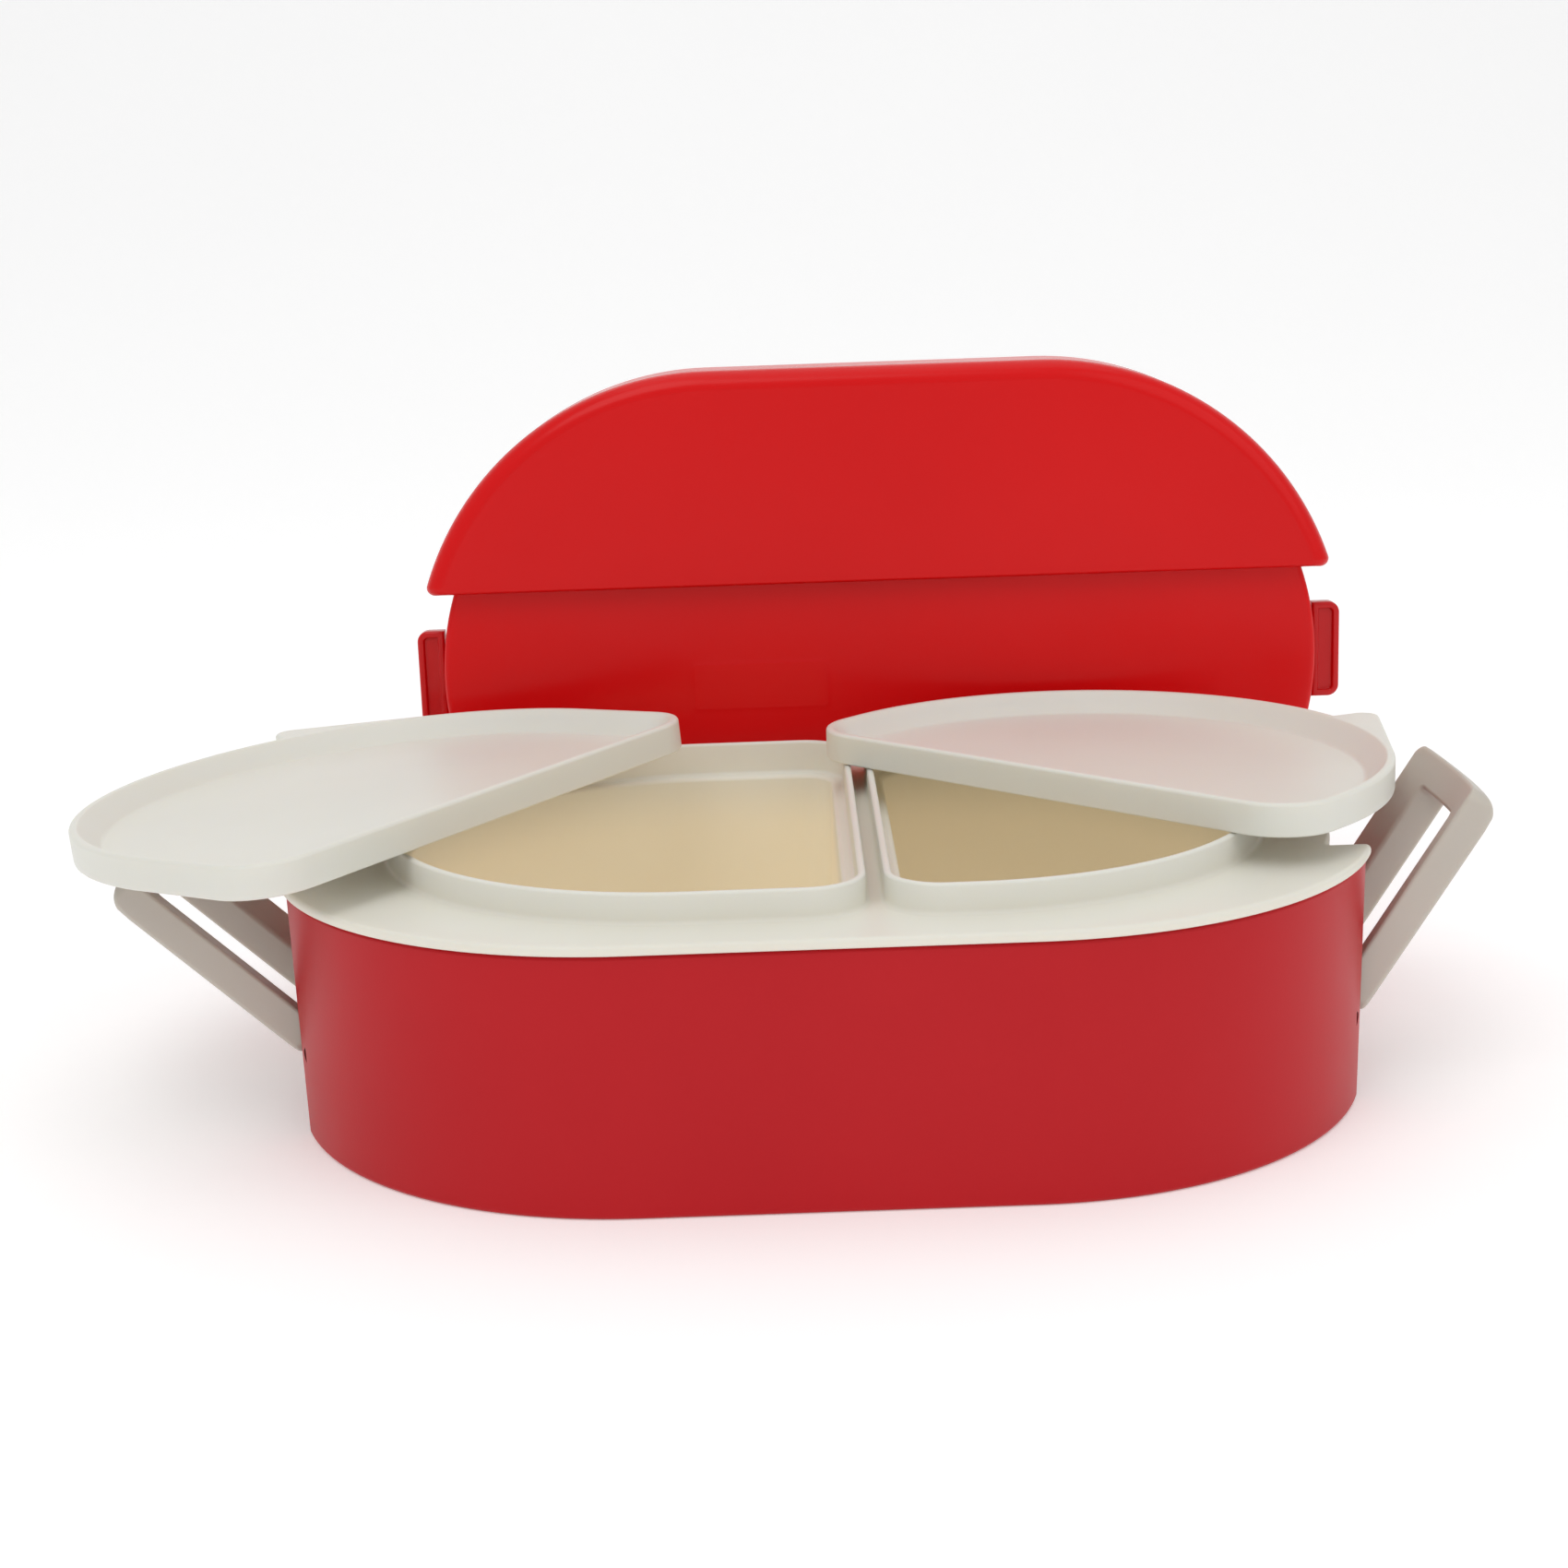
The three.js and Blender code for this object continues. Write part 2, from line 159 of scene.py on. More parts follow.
plastics = {
    "caseRed": {
        "dark": (0.47, 0.006, 0.011, 1), "light": (0.50, 0.008, 0.013, 1),
        "driftScale": 18, "patchScale": 25, "roughness": (0.34, 0.44),
        "grainScale": 2600, "grain": 0.012, "rippleScale": 60, "ripple": 0.02,
        "specular": 0.2, "glow": 0.0, "glowRadius": (1.0, 0.1, 0.1),
    },
    "lidRed": {
        "dark": (0.68, 0.004, 0.005, 1), "light": (0.72, 0.005, 0.006, 1),
        "driftScale": 14, "patchScale": 22, "roughness": (0.18, 0.28),
        "grainScale": 2600, "grain": 0.004, "rippleScale": 14, "ripple": 0.8,
        "specular": 0.2, "glow": 0.0, "glowRadius": (1.0, 0.1, 0.1),
    },
    "catchRed": {
        "dark": (0.56, 0.003, 0.005, 1), "light": (0.60, 0.004, 0.006, 1),
        "driftScale": 40, "patchScale": 60, "roughness": (0.16, 0.24),
        "grainScale": 2600, "grain": 0.003, "rippleScale": 90, "ripple": 0.02,
        "specular": 0.32, "glow": 0.0, "glowRadius": (1.0, 0.1, 0.1),
    },
    "cream": {
        "dark": (0.75, 0.74, 0.67, 1), "light": (0.78, 0.775, 0.71, 1),
        "driftScale": 16, "patchScale": 30, "roughness": (0.36, 0.48),
        "grainScale": 2400, "grain": 0.012, "rippleScale": 50, "ripple": 0.02,
        "specular": 0.3, "glow": 0.2, "glowRadius": (1.0, 0.8, 0.55),
    },
}
# The tray is the same plastic with painted light low in its bowls: a warmer colour there stands
# in for warm light bounced inside them, and a faint emission paints the glow of light that comes
# through its thin walls. The handles are the same plastic darkened to paint the shade they sit
# in.
plastics["creamTrayPaintedLight"] = {**plastics["cream"], "deep": {
    "from": 0.052, "to": 0.034, "tone": (0.81, 0.75, 0.60, 1), "glow": (0.13, 0.104, 0.070, 1)}}
# Painted shade: the handles' cream is darkened because they face away from the light.
plastics["creamHandlePaintedShade"] = {
    **plastics["cream"], "dark": (0.53, 0.49, 0.43, 1), "light": (0.57, 0.53, 0.47, 1)}
finishes = {name: mouldedPlastic(name, looks) for name, looks in plastics.items()}
print("finishes ready")


# Walks a pen round a flat outline: lines are extruded and arcs are spun. Gives the outline's
# points in order, anticlockwise.
def drawPoints(outline, z):
    pen = bmesh.new()
    start, moves = outline
    first = pen.verts.new((start[0], start[1], z))
    tip = first
    for move in moves:
        if move[0] == "line":
            end, steps = move[1:]
            began = tip.co.copy()
            for step in range(1, steps + 1):
                tip = bmesh.ops.extrude_vert_indiv(pen, verts=[tip])["verts"][0]
                tip.co = began.lerp(Vector((end[0], end[1], z)), step / steps)
        else:
            centre, angle, steps = move[1:]
            tip = bmesh.ops.spin(
                pen, geom=[tip], cent=(centre[0], centre[1], z), axis=(0, 0, 1),
                angle=angle, steps=steps, use_duplicate=False)["geom_last"][0]
    points, edge, vert = [first.co.copy()], first.link_edges[0], first
    while True:
        vert = edge.other_vert(vert)
        onward = [other for other in vert.link_edges if other != edge]
        if not onward:
            break
        points.append(vert.co.copy())
        edge = onward[0]
    pen.free()
    area = sum(a.x * b.y - b.x * a.y for a, b in zip(points, points[1:] + points[:1]))
    return points if area > 0 else points[:1] + points[:0:-1]


# Rounds the corners of a wall's section. Each point is (grow, z, radius of its corner).
def roundSection(points, steps=5):
    path = []
    for index, (grow, z, radius) in enumerate(points):
        corner = Vector((grow, z))
        if radius == 0:
            path.append(corner)
            continue
        before = (Vector(points[index - 1][:2]) - corner).normalized()
        after = (Vector(points[index + 1][:2]) - corner).normalized()
        half = before.angle(after) / 2
        hub = corner + (before + after).normalized() * radius / sin(half)
        reach = radius / tan(half)
        began, ended = corner + before * reach - hub, corner + after * reach - hub
        for step in range(steps + 1):
            path.append(hub + began.slerp(ended, step / steps) * radius)
    return path


# Draws the first outline of a stack, then extrudes it from each outline to the next.
# Returns the first and last ring of edges.
def loft(bm, stack):
    levels = [drawPoints(outline, z) for outline, z in stack]
    verts = [bm.verts.new(point) for point in levels[0]]
    first = ring = [bm.edges.new(ends) for ends in zip(verts, verts[1:] + verts[:1])]
    for points in levels[1:]:
        made = set(bmesh.ops.extrude_edge_only(bm, edges=ring)["geom"])
        verts = [next(edge.other_vert(vert) for edge in vert.link_edges
                      if edge.other_vert(vert) in made) for vert in verts]
        for vert, point in zip(verts, points):
            vert.co = point
        ring = [bm.edges.get(ends) for ends in zip(verts, verts[1:] + verts[:1])]
    return first, ring


# Angles from 0 to a right angle.
def quarterTurn(steps):
    return [radians(90 * step / steps) for step in range(steps + 1)]


def stackOf(outlineAt, section):
    return [(outlineAt(grow), z) for grow, z in section]


def capRing(bm, ring):
    bmesh.ops.contextual_create(bm, geom=ring)


def tidyMesh(bm, sharpAngle=38):
    bmesh.ops.remove_doubles(bm, verts=bm.verts, dist=weldGap)
    bmesh.ops.recalc_face_normals(bm, faces=bm.faces)
    for face in bm.faces:
        face.smooth = True
    for edge in bm.edges:
        edge.smooth = len(edge.link_faces) == 2 and edge.calc_face_angle() < radians(sharpAngle)


def newObject(name, bm):
    bmesh.ops.remove_doubles(bm, verts=bm.verts, dist=weldGap)
    bmesh.ops.recalc_face_normals(bm, faces=bm.faces)
    mesh = bpy.data.meshes.new(name)
    bm.to_mesh(mesh)
    bm.free()
    piece = bpy.data.objects.new(name, mesh)
    scene.collection.objects.link(piece)
    return piece


def applyModifiers(piece):
    depsgraph = bpy.context.evaluated_depsgraph_get()
    mesh = bpy.data.meshes.new_from_object(piece.evaluated_get(depsgraph))
    piece.modifiers.clear()
    piece.data = mesh


# Joins or cuts with exact booleans, then drops the tools.
def combine(piece, tools, operation):
    for tool in tools:
        modifier = piece.modifiers.new("combine", "BOOLEAN")
        modifier.operation = operation
        modifier.solver = "EXACT"
        modifier.object = tool
    bpy.context.view_layer.update()
    applyModifiers(piece)
    for tool in tools:
        bpy.data.objects.remove(tool)


# Brings a piece to metres and to its place, gives it its finish, and hangs it on its body.
def finishPiece(piece, finishName, body, node, place=Matrix.Identity(4)):
    bm = bmesh.new()
    bm.from_mesh(piece.data)
    tidyMesh(bm)
    bm.transform(Matrix.Scale(millimetre, 4) @ place)
    bm.to_mesh(piece.data)
    bm.free()
    piece.data.materials.clear()
    piece.data.materials.append(finishes[finishName])
    weighted = piece.modifiers.new("evenShading", "WEIGHTED_NORMAL")
    weighted.keep_sharp = True
    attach(piece, body)
    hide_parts(node)
    print("made", piece.name, len(piece.data.polygons), "faces")


# A long oval with a channel in each end. grow moves the whole outline outwards.
def channelOutline(shape, grow):
    straight = shape["halfStraight"]
    radius = shape["radius"] + grow
    inner = shape["channelRadius"] + grow
    half = shape["channelHalf"] - grow
    lip = max(shape["lipRadius"] + grow, 0.25)
    root = max(shape["rootRadius"] - grow, 0.25)
    lipX = sqrt((radius - lip) ** 2 - (half + lip) ** 2)
    rootX = sqrt((inner + root) ** 2 - (half - root) ** 2)
    lipTurn = atan2(half + lip, lipX)
    rootTurn = atan2(half - root, rootX)
    moves = []
    for side in (1, -1):
        hub = (side * straight, 0)
        moves += [
            ("arc", hub, pi / 2 - lipTurn, 30),
            ("arc", (side * (straight + lipX), -side * (half + lip)), pi / 2 + lipTurn, 7),
            ("line", (side * (straight + rootX), -side * half), 1),
            ("arc", (side * (straight + rootX), side * (root - half)), -pi / 2 - rootTurn, 6),
            ("arc", hub, 2 * rootTurn, 18),
            ("arc", (side * (straight + rootX), side * (half - root)), -pi / 2 - rootTurn, 6),
            ("line", (side * (straight + lipX), side * half), 1),
            ("arc", (side * (straight + lipX), side * (half + lip)), pi / 2 + lipTurn, 7),
            ("arc", hub, pi / 2 - lipTurn, 30),
            ("line", (-side * straight, side * radius), 6),
        ]
    return (-straight, -radius), [("line", (straight, -radius), 6)] + moves[:-1]


# A compartment's D: a straight side at x = chord and a round end towards +X.
def compartmentOutline(shape, grow, tab=None):
    hub = (shape["centre"], 0)
    radius = shape["radius"] + grow
    corner = max(shape["corner"] + grow, 0.4)
    side = shape["chord"] - grow
    roundEnd = [("arc", hub, pi, 96)]
    if tab:
        spread = acos((shape["radius"] + tab["rimGrow"]) / tab["peakRadius"])
        tipTurn = radians(tab["angle"]) - spread
        sideAngle = radians(tab["angle"])
        hubReach = (shape["radius"] + tab["rimGrow"] - tab["corner"]) / cos(spread)
        tipHub = (hub[0] + hubReach * cos(sideAngle), hub[1] + hubReach * sin(sideAngle))
        tipRadius = tab["corner"] + grow - tab["rimGrow"]
        rootTurn = asin(tipRadius / radius)
        rootAngle = sideAngle + rootTurn
        if tab["raised"]:
            started = (tipHub[0] + tipRadius * cos(tipTurn), tipHub[1] + tipRadius * sin(tipTurn))
            ended = (hub[0] + radius * cos(rootAngle), hub[1] + radius * sin(rootAngle))
            middle = [("line", started, 10), ("arc", tipHub, sideAngle + pi / 2 - tipTurn, 12),
                      ("line", ended, 4)]
        else:
            middle = [("arc", hub, rootAngle - tipTurn, 26)]
        roundEnd = [("arc", hub, tipTurn + pi / 2, 20)] + middle + [
            ("arc", hub, pi / 2 - rootAngle, 50)]
    return (side + corner, -radius), [("line", (hub[0], -radius), 3)] + roundEnd + [
        ("line", (side + corner, radius), 3),
        ("arc", (side + corner, radius - corner), pi / 2, 12),
        ("line", (side, corner - radius), 12),
        ("arc", (side + corner, corner - radius), pi / 2, 12),
    ]


def roundedBox(x0, x1, y0, y1, corner):
    return (x0 + corner, y0), [
        ("line", (x1 - corner, y0), 10),
        ("arc", (x1 - corner, y0 + corner), pi / 2, 8),
        ("line", (x1, y1 - corner), 14),
        ("arc", (x1 - corner, y1 - corner), pi / 2, 8),
        ("line", (x0 + corner, y1), 10),
        ("arc", (x0 + corner, y1 - corner), pi / 2, 8),
        ("line", (x0, y0 + corner), 14),
        ("arc", (x0 + corner, y0 + corner), pi / 2, 8),
    ]


case = {
    "halfStraight": 33.2, "radius": 66, "channelRadius": 59.3, "channelHalf": 20.4,
    "lipRadius": 0.8, "rootRadius": 0.6,
    "height": 45.6, "wall": 2, "floor": 2, "draft": 0.8, "footRound": 1,
    "lipRound": 0.7, "innerLipRound": 0.5, "floorRound": 0.8, "baseInset": 1.6, "floorInset": 0.9,
    "pivot": (92.6, 16.5), "holeRadius": 1.8, "holeEnd": 25,
}


def makeBar(radius, y0, y1, x, z, segments=24):
    bm = bmesh.new()
    bmesh.ops.create_cone(
        bm, cap_ends=True, segments=segments, radius1=radius, radius2=radius, depth=y1 - y0)
    bm.transform(Matrix.Translation((x, (y0 + y1) / 2, z)) @ Matrix.Rotation(pi / 2, 4, "X"))
    return newObject("bar", bm)


def makeCase():
    bm = bmesh.new()
    draft, wall, top = case["draft"], case["wall"], case["height"]
    section = roundSection([
        (-draft - case["baseInset"], 0, 0),
        (-draft, 0, case["footRound"]),
        (0, top, case["lipRound"]),
        (-wall, top, case["innerLipRound"]),
        (-wall - draft, case["floor"], case["floorRound"]),
        (-wall - draft - case["floorInset"], case["floor"], 0),
    ], 6)
    bottom, inside = loft(bm, stackOf(partial(channelOutline, case), section))
    capRing(bm, bottom)
    capRing(bm, inside)
    piece = newObject("outerCase", bm)
    x, z = case["pivot"]
    end = case["holeEnd"]
    combine(piece, [makeBar(case["holeRadius"], -end, end, side * x, z) for side in (1, -1)],
            "DIFFERENCE")
    finishPiece(piece, "caseRed", "case", "outer_case")


tray = {
    "halfStraight": 33.2, "radius": 66.9, "channelRadius": 59.3, "channelHalf": 20.4,
    "lipRadius": 1.2, "rootRadius": 0.6,
    "base": 45.8, "top": 47.6, "lipRound": 0.8, "lipUnderRound": 0.5, "topInset": 2,
    "ribGap": 3.2, "ribWall": 1.3, "ribDepth": 2, "ribRound": 0.4, "ribRootRound": 0.3,
    "collarTop": 53, "wall": 1.3, "footFillet": 0.9, "footMargin": 0.2, "rimRound": 0.55,
    "ledge": 2.4, "ledgeDrop": 1.2, "ledgeRound": 0.7, "ledgeEdgeRound": 0.9,
    "bowlBase": 4.4, "bowlDraft": 0.8, "bowlRound": 6, "bowlInset": 8,
}
leftCompartment = {"centre": 24, "radius": 56, "corner": 10, "chord": -6.35}
rightCompartment = {"centre": 24, "radius": 56, "corner": 10, "chord": 9.35}


# One compartment's skin, from the foot of its collar over the rim and down into the bowl,
# then the outside of the bowl back up to the flange's underside.
def raiseCompartment(bm, shape):
    wall, ledge, top = tray["wall"], tray["ledge"], tray["collarTop"]
    draft, inset = tray["bowlDraft"], tray["bowlInset"]
    shelf = tray["top"] - tray["ledgeDrop"]
    section = roundSection([
        (tray["footFillet"] + tray["footMargin"], tray["top"], 0),
        (0, tray["top"], tray["footFillet"]),
        (0, top, tray["rimRound"]),
        (-wall, top, tray["rimRound"]),
        (-wall, shelf, tray["ledgeRound"]),
        (-ledge - wall, shelf, tray["ledgeEdgeRound"]),
        (-ledge - wall - draft, tray["bowlBase"] + wall, tray["bowlRound"]),
        (-ledge - wall - inset, tray["bowlBase"] + wall, 0),
    ], 5)
    foot, floor = loft(bm, stackOf(partial(compartmentOutline, shape), section))
    capRing(bm, floor)
    under = roundSection([
        (-ledge - inset, tray["bowlBase"], 0),
        (-ledge - draft, tray["bowlBase"], tray["bowlRound"]),
        (-ledge, tray["base"], 0),
    ], 5)
    bottom, neck = loft(bm, stackOf(partial(compartmentOutline, shape), under))
    capRing(bm, bottom)
    return foot, neck


def makeTray():
    bm = bmesh.new()
    leftFoot, leftNeck = raiseCompartment(bm, leftCompartment)
    bmesh.ops.rotate(bm, verts=bm.verts, cent=(0, 0, 0), matrix=Matrix.Rotation(pi, 3, "Z"))
    rightFoot, rightNeck = raiseCompartment(bm, rightCompartment)
    gap, rib, low = tray["ribGap"], tray["ribWall"], tray["base"] - tray["ribDepth"]
    inner, outer = loft(bm, stackOf(partial(channelOutline, tray), roundSection([
        (-gap - rib, tray["base"], 0),
        (-gap - rib, low, tray["ribRound"]),
        (-gap, low, tray["ribRound"]),
        (-gap, tray["base"], tray["ribRootRound"]),
        (0, tray["base"], tray["lipUnderRound"]),
        (0, tray["top"], tray["lipRound"]),
        (-tray["topInset"], tray["top"], 0),
    ], 4)))
    for edges in (outer + leftFoot + rightFoot, inner + leftNeck + rightNeck):
        bmesh.ops.triangle_fill(bm, use_beauty=True, use_dissolve=False, edges=edges)
    piece = newObject("foodTray", bm)
    finishPiece(piece, "creamTrayPaintedLight", "tray", "food_tray")


innerLid = {
    "grow": 1.2, "height": 6, "rim": 3.7, "skirt": 1, "groove": 4,
    "skirtRound": 0.3, "grooveRound": 0.4, "footRound": 0.4,
    "panelBase": 0.6, "panelTop": 1.8, "underInset": 2, "panelInset": 4,
    "rimRound": 0.7, "rimFlat": (0.9, 1), "brow": 1.5, "browRound": 0.7,
    "slope": 1.6, "slopeRound": 1.2,
    "tabThickness": 1.6, "reference": 44,
}
pullTab = {"angle": -25.5, "peakRadius": 65.4, "corner": 3, "rimGrow": 1.2, "raised": False}
innerLidPlaces = {
    "left": {"at": (-97.9, 21.7, 51.8), "yaw": -38 + 180, "rise": 4.57, "roll": 0.5},
    "right": {"at": (63.3, 24.9, 53.15), "yaw": 46.3, "rise": 0, "roll": 0},
}


def makeInnerLid(side, shape):
    bm = bmesh.new()
    plain = partial(compartmentOutline, shape, tab=pullTab)
    tabbed = partial(compartmentOutline, shape, tab={**pullTab, "raised": True})
    grow, top = innerLid["grow"], innerLid["height"]
    skirt, groove, brow = innerLid["skirt"], innerLid["groove"], innerLid["brow"]
    tabBase = top - innerLid["tabThickness"]
    inner = grow - innerLid["rim"]
    soft, bend = innerLid["skirtRound"], innerLid["grooveRound"]
    under = roundSection([
        (inner - innerLid["underInset"], innerLid["panelBase"], 0),
        (inner, innerLid["panelBase"], soft),
        (inner, 0, soft),
        (inner + skirt, 0, soft),
        (inner + skirt, groove, bend),
        (grow - skirt, groove, bend),
        (grow - skirt, 0, soft),
        (grow, 0, innerLid["footRound"]),
        (grow, tabBase, 0),
    ], 3)
    tabFlat, plainFlat = innerLid["rimFlat"]
    edge = roundSection([
        (grow, tabBase, 0),
        (grow, top, innerLid["rimRound"]),
        (grow - tabFlat, top, 0),
    ], 5)
    dish = roundSection([
        (grow - plainFlat, top, 0),
        (grow - brow, top, innerLid["browRound"]),
        (inner - innerLid["slope"], innerLid["panelTop"], innerLid["slopeRound"]),
        (inner - innerLid["panelInset"], innerLid["panelTop"], 0),
    ], 5)
    bottom, panel = loft(bm, stackOf(plain, under) + stackOf(tabbed, edge) + stackOf(plain, dish))
    capRing(bm, bottom)
    capRing(bm, panel)
    place = innerLidPlaces[side]
    pose = (
        Matrix.Translation(place["at"])
        @ Matrix.Rotation(radians(-place["roll"]), 4, "X")
        @ Matrix.Rotation(radians(-place["rise"]), 4, "Y")
        @ Matrix.Rotation(radians(place["yaw"]), 4, "Z")
        @ Matrix.Translation((-innerLid["reference"], 0, 0))
    )
    piece = newObject(side + "InnerLid", bm)
    body = "inner_lid_" + side
    finishPiece(piece, "cream", body, body, pose)


lid = {
    "halfStraight": 34.7, "radius": 63.6, "depth": 17.4, "wall": 1.8, "edgeRound": 4,
    "bandHalf": 18.8, "bandDrop": 4, "bandRadius": 57.8, "stepRound": 0.9, "tipRound": 1.6,
    "bandRound": 1.3, "bandInset": 3, "bandOverlap": 1, "hollowOverlap": 0.4, "overcut": 2,
    "at": (13.9, 69.5, 64.05), "yaw": -0.7, "lean": 1, "plaque": (-39.8, -10.3, -8.2, 2.5),
    "plaqueRelief": 0.15, "plaqueCorner": 1.4, "plaqueSlope": 0.6, "plaqueRound": 0.5,
}
catch = {
    "half": 10.2, "outerX": 98.6, "top": -9.6, "thickness": 3.6, "frame": 1.4,
    "recess": 0.8, "corner": 2.4, "rootGap": 0.3, "rootTuck": 0.1,
    "lowRound": 0.7, "topRound": 0.6, "frameRound": 0.3, "recessInset": 0.9, "underInset": 2,
}


# One raised half: a flat chord beside the band, round ends, and a straight far side.
def halfOutline(growRound, growStep):
    radius = lid["radius"] + growRound
    step = lid["bandHalf"] - growStep
    tip = max(lid["tipRound"] + growStep, 0.3)
    tipX = sqrt((radius - tip) ** 2 - (step + tip) ** 2)
    turn = atan2(step + tip, tipX)
    straight = lid["halfStraight"]
    return (-straight - tipX, step), [
        ("line", (straight + tipX, step), 24),
        ("arc", (straight + tipX, step + tip), pi / 2 + turn, 8),
        ("arc", (straight, 0), pi / 2 - turn, 36),
        ("line", (-straight, radius), 6),
        ("arc", (-straight, 0), pi / 2 - turn, 36),
        ("arc", (-straight - tipX, step + tip), pi / 2 + turn, 8),
    ]


def bandOutline(half, grow):
    radius = lid["bandRadius"] + grow
    turn = asin(half / radius)
    straight = lid["halfStraight"]
    reach = sqrt(radius ** 2 - half ** 2)
    return (-straight - reach, -half), [
        ("line", (straight + reach, -half), 16),
        ("arc", (straight, 0), 2 * turn, 24),
        ("line", (-straight - reach, half), 16),
        ("arc", (-straight, 0), 2 * turn, 24),
    ]


def makeHalf(side, hollow):
    bm = bmesh.new()
    depth, edge, wall = lid["depth"], lid["edgeRound"], lid["wall"]
    if hollow:
        stack = [(halfOutline(-wall, -wall), z) for z in (-wall, -depth - lid["overcut"])]
    else:
        stack = []
        for turn in quarterTurn(8):
            inset = 1 - sin(turn)
            outline = halfOutline(-edge * inset, -lid["stepRound"] * inset)
            stack.append((outline, -edge * (1 - cos(turn))))
        stack.append((halfOutline(0, 0), -depth))
    for ring in loft(bm, stack):
        capRing(bm, ring)
    if side < 0:
        bmesh.ops.rotate(bm, verts=bm.verts, cent=(0, 0, 0), matrix=Matrix.Rotation(pi, 3, "Z"))
    return newObject("half", bm)


def makeBand(hollow):
    bm = bmesh.new()
    depth, wall, drop = lid["depth"], lid["wall"], lid["bandDrop"]
    if hollow:
        half = lid["bandHalf"] + (wall + lid["hollowOverlap"])
        section = [(-wall, -drop - wall), (-wall, -depth - lid["overcut"])]
    else:
        half = lid["bandHalf"] + lid["bandOverlap"]
        section = roundSection(
            [(-lid["bandInset"], -drop, 0), (0, -drop, lid["bandRound"]), (0, -depth, 0)], 5)
    for ring in loft(bm, stackOf(partial(bandOutline, half), section)):
        capRing(bm, ring)
    return newObject("band", bm)


# A plain raised panel on the band, left of the middle.
def makePlaque():
    bm = bmesh.new()
    left, right, low, high = lid["plaque"]
    surface = -lid["bandDrop"]

    relief, slope = lid["plaqueRelief"], lid["plaqueSlope"]

    def outline(grow):
        return roundedBox(left - grow, right + grow, low - grow, high + grow,
                          lid["plaqueCorner"] + grow)

    section = roundSection([
        (slope, surface - slope, 0),
        (slope, surface, 0),
        (-slope, surface + relief, lid["plaqueRound"]),
        (-2 * slope, surface + relief, 0),
    ], 4)
    for ring in loft(bm, stackOf(outline, section)):
        capRing(bm, ring)
    return newObject("plaque", bm)


lidPose = (
    Matrix.Translation(lid["at"])
    @ Matrix.Rotation(radians(lid["yaw"]), 4, "Z")
    @ Matrix.Rotation(radians(90 - lid["lean"]), 4, "X")
)


def makeOuterLid():
    piece = makeBand(False)
    piece.name = "outerLid"
    combine(piece, [makeHalf(1, False), makeHalf(-1, False), makePlaque()], "UNION")
    combine(piece, [makeHalf(1, True), makeHalf(-1, True), makeBand(True)], "DIFFERENCE")
    finishPiece(piece, "lidRed", "outer_lid", "outer_lid", lidPose)


# A rounded tongue that reaches out from the band's end wall.
def tongueOutline(x0, x1, half, corner):
    return (x0, -half), [
        ("line", (x1 - corner, -half), 3),
        ("arc", (x1 - corner, corner - half), pi / 2, 8),
        ("line", (x1, half - corner), 6),
        ("arc", (x1 - corner, half - corner), pi / 2, 8),
        ("line", (x0, half), 3),
        ("line", (x0, -half), 8),
    ]


def makeCatch(side):
    bm = bmesh.new()
    root = lid["halfStraight"] + lid["bandRadius"] + catch["rootGap"]
    half, outer, corner = catch["half"], catch["outerX"], catch["corner"]
    frameWidth = catch["frame"]

    def outline(grow):
        return tongueOutline(root - catch["rootTuck"] - min(grow, 0), outer + grow, half + grow,
                             max(corner + grow, 0.3))

    top, low = catch["top"], catch["top"] - catch["thickness"]
    section = roundSection([
        (-catch["underInset"], low, 0),
        (0, low, catch["lowRound"]),
        (0, top, catch["topRound"]),
        (-frameWidth, top, catch["frameRound"]),
        (-frameWidth, top - catch["recess"], catch["frameRound"]),
        (-frameWidth - catch["recessInset"], top - catch["recess"], 0),
    ], 4)
    for ring in loft(bm, stackOf(outline, section)):
        capRing(bm, ring)
    piece = newObject(side + "Catch", bm)
    turn = Matrix.Rotation(0 if side == "right" else pi, 4, "Z")
    finishPiece(piece, "catchRed", "outer_lid", "lid_catch_" + side, lidPose @ turn)


handle = {
    "pivot": (92.6, 16.5), "top": 45.8, "base": 1, "half": 18.75,
    "innerRadius": 59.7, "outerRadius": 65.8, "ringCentre": 33.2,
    "windowHalf": 10.5, "windowBase": 5, "windowTop": 39.2,
    "edge": 0.8, "topRound": 4.2, "corner": 2.2, "windowCorner": 1.2,
    "footRadius": 1.9, "footInner": 14.5, "trunnionRadius": 1.5, "trunnionEnd": 22,
    "trunnionRoot": 1,
}
handleTilts = {"left": 47.4, "right": 32.6}


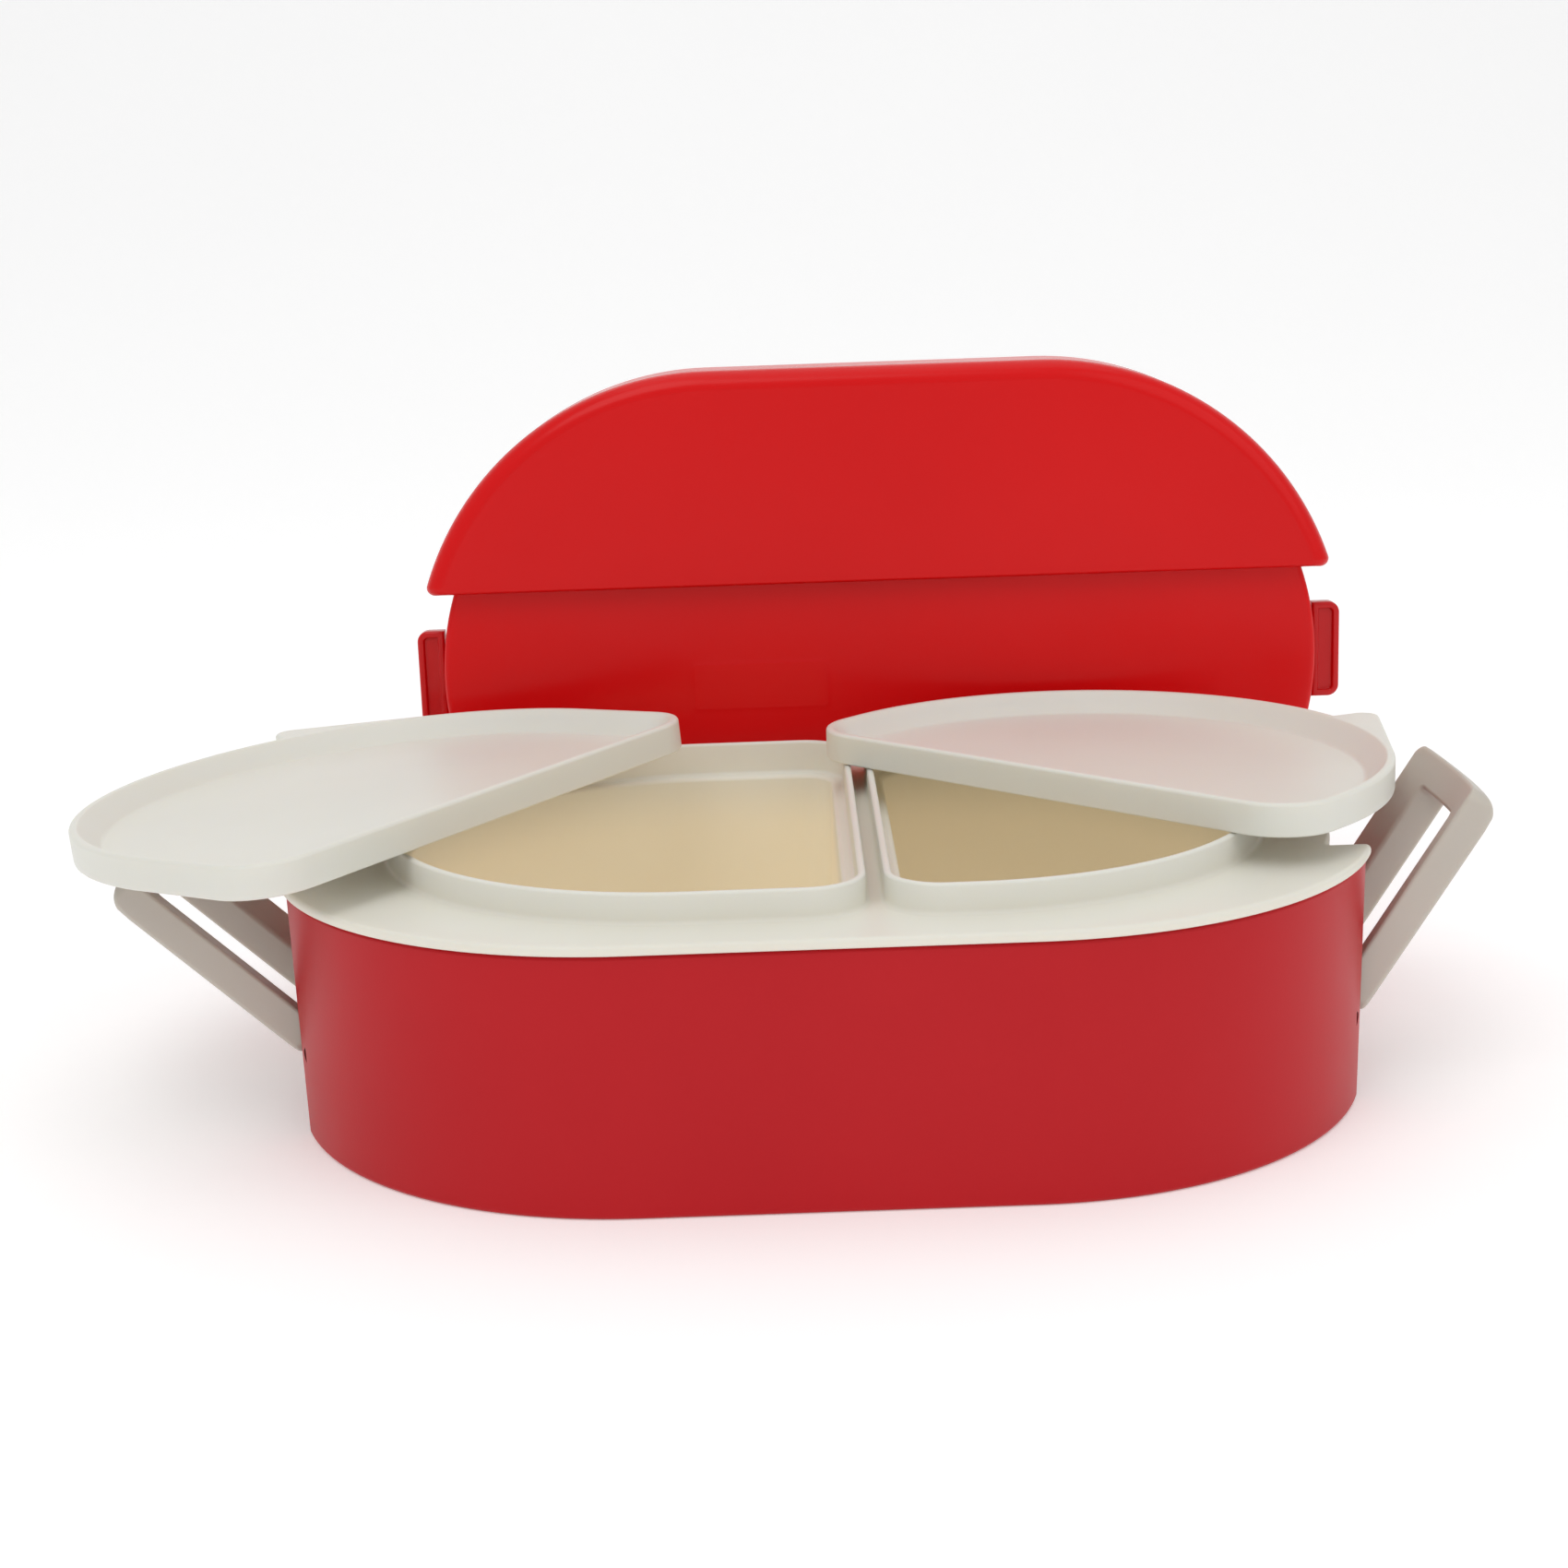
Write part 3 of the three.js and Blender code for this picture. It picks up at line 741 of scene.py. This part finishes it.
# The frame is drawn flat: x across it, y up the arm, z through its thickness.
def makeHandle(side):
    bm = bmesh.new()
    thick = handle["outerRadius"] - handle["innerRadius"]
    edge, half = handle["edge"], handle["half"]

    def outer(inset):
        return roundedBox(inset - half, half - inset, handle["base"] + inset,
                          handle["top"] - inset, handle["corner"])

    def window(inset):
        reach = handle["windowHalf"] + inset
        return roundedBox(-reach, reach, handle["windowBase"] - inset,
                          handle["windowTop"] + inset, handle["windowCorner"] + inset)

    # A quarter turn over an edge, as pairs of inset and depth.
    quarter = [(edge * (1 - sin(turn)), edge * (1 - cos(turn))) for turn in quarterTurn(4)]
    stack = [(outer(inset), depth) for inset, depth in quarter]
    stack += [(outer(inset), thick - depth) for inset, depth in reversed(quarter)]
    stack += [(window(inset), thick - depth) for inset, depth in quarter]
    stack += [(window(inset), depth) for inset, depth in reversed(quarter)]
    loft(bm, stack + stack[:1])
    # The top's outer corner is rounded over, and the frame is bent round the case's end.
    over = handle["topRound"]
    for vert in bm.verts:
        across, up, through = vert.co
        share = max(0, (up - handle["top"] + over) / over)
        drop = over * (1 - sqrt(max(0, 1 - min(share, 1) ** 2)))
        through = through * (1 - drop / thick)
        ring = handle["innerRadius"] + through
        x = handle["ringCentre"] - handle["pivot"][0] + sqrt(ring ** 2 - across ** 2)
        vert.co = (x, across, up)
    foot, trunnion = handle["footRadius"], handle["trunnionRadius"]
    piece = newObject(side + "Handle", bm)
    bars = []
    for turn in (1, -1):
        y0, y1 = sorted((turn * handle["footInner"], turn * half))
        bars.append(makeBar(foot, y0, y1, 0, 0))
        y0, y1 = sorted((turn * (half - handle["trunnionRoot"]), turn * handle["trunnionEnd"]))
        bars.append(makeBar(trunnion, y0, y1, 0, 0))
    combine(piece, bars, "UNION")
    facing = 1 if side == "right" else -1
    x, z = handle["pivot"]
    pose = (
        Matrix.Translation((facing * x, 0, z))
        @ Matrix.Rotation(0 if facing > 0 else pi, 4, "Z")
        @ Matrix.Rotation(radians(handleTilts[side]), 4, "Y")
    )
    finishPiece(piece, "creamHandlePaintedShade", "handle_" + side, "latch_handle_" + side, pose)


makeCase()
makeTray()
makeInnerLid("left", leftCompartment)
makeInnerLid("right", rightCompartment)
makeOuterLid()
makeCatch("left")
makeCatch("right")
makeHandle("left")
makeHandle("right")
print("pieces ready")


studio = {
    "floor": (0.94, 0.96), "floorGlow": 0.2, "surround": 0.56,
    "sweep": {"half": 4, "behind": 2.2, "height": 4, "curve": 1.4},
    "key": {"at": (-0.5, -0.9, 1.5), "size": 1.2, "power": 6.4},
    "fill": {"at": (0.9, -0.8, 0.9), "size": 1.4, "power": 2.8},
    "top": {"at": (0, 0.2, 1.8), "size": 1.6, "power": 4.2},
    "aim": (0, 0, 0.04),
}


# A sheet that lies flat under the object and sweeps up far behind it.
def makeFloor():
    sweep = studio["sweep"]
    bm = bmesh.new()
    bmesh.ops.create_grid(bm, x_segments=1, y_segments=1, size=sweep["half"])
    bmesh.ops.translate(bm, verts=bm.verts, vec=(0, sweep["behind"] - sweep["half"], 0))
    bm.edges.ensure_lookup_table()
    back = max(bm.edges, key=lambda edge: sum(vert.co.y for vert in edge.verts))
    rising = bmesh.ops.extrude_edge_only(bm, edges=[back])["geom"]
    risen = [part for part in rising if isinstance(part, bmesh.types.BMVert)]
    bmesh.ops.translate(bm, verts=risen, vec=(0, 0, sweep["height"]))
    bmesh.ops.bevel(bm, geom=[back], offset=sweep["curve"], segments=24, profile=0.5,
                    affect="EDGES", material=-1)
    for face in bm.faces:
        face.smooth = True
    mesh = bpy.data.meshes.new("floor")
    bm.to_mesh(mesh)
    bm.free()
    floor = bpy.data.objects.new("floor", mesh)
    scene.collection.objects.link(floor)
    finish = Finish("floorPaint")
    tone = finish.noise(3, 2)
    floor.data.materials.append(finish.close({
        "Base Color": finish.ramp(tone, list(enumerate(map(grey, studio["floor"])))),
        "Emission Color": (1, 1, 1, 1), "Emission Strength": studio["floorGlow"],
        "Roughness": 0.9, "Specular IOR Level": 0.1}))


def makeLight(name):
    facts = studio[name]
    light = bpy.data.lights.new(name, "AREA")
    light.shape = "DISK"
    light.size = facts["size"]
    light.energy = facts["power"]
    lamp = bpy.data.objects.new(name, light)
    lamp.location = facts["at"]
    aim = Vector(studio["aim"]) - Vector(facts["at"])
    lamp.rotation_euler = aim.to_track_quat("-Z", "Y").to_euler()
    scene.collection.objects.link(lamp)


def makeWorld():
    world = bpy.data.worlds.new("surround")
    world.use_nodes = True
    background = world.node_tree.nodes["Background"]
    background.inputs["Color"].default_value = (1, 1, 1, 1)
    background.inputs["Strength"].default_value = studio["surround"]
    scene.world = world


view = {"yaw": -0.003, "drop": 0.236, "roll": -0.036, "lens": 57.32,
        "at": (-0.0055, -0.4472, 0.1647)}


def makeCamera():
    camera = bpy.data.cameras.new("camera")
    camera.lens = view["lens"]
    camera.sensor_width = 36
    eye = bpy.data.objects.new("camera", camera)
    yaw, drop, roll = view["yaw"], view["drop"], view["roll"]
    ahead = Vector((sin(yaw) * cos(drop), cos(yaw) * cos(drop), -sin(drop)))
    right = Vector((cos(yaw), -sin(yaw), 0))
    up = right.cross(ahead)
    across = cos(roll) * right + sin(roll) * up
    above = -sin(roll) * right + cos(roll) * up
    turn = Matrix((across, above, -ahead)).transposed()
    eye.matrix_world = Matrix.Translation(view["at"]) @ turn.to_4x4()
    scene.collection.objects.link(eye)
    scene.camera = eye


makeFloor()
for name in ("key", "fill", "top"):
    makeLight(name)
makeWorld()
makeCamera()
scene.view_settings.view_transform = "Standard"
print("studio ready")
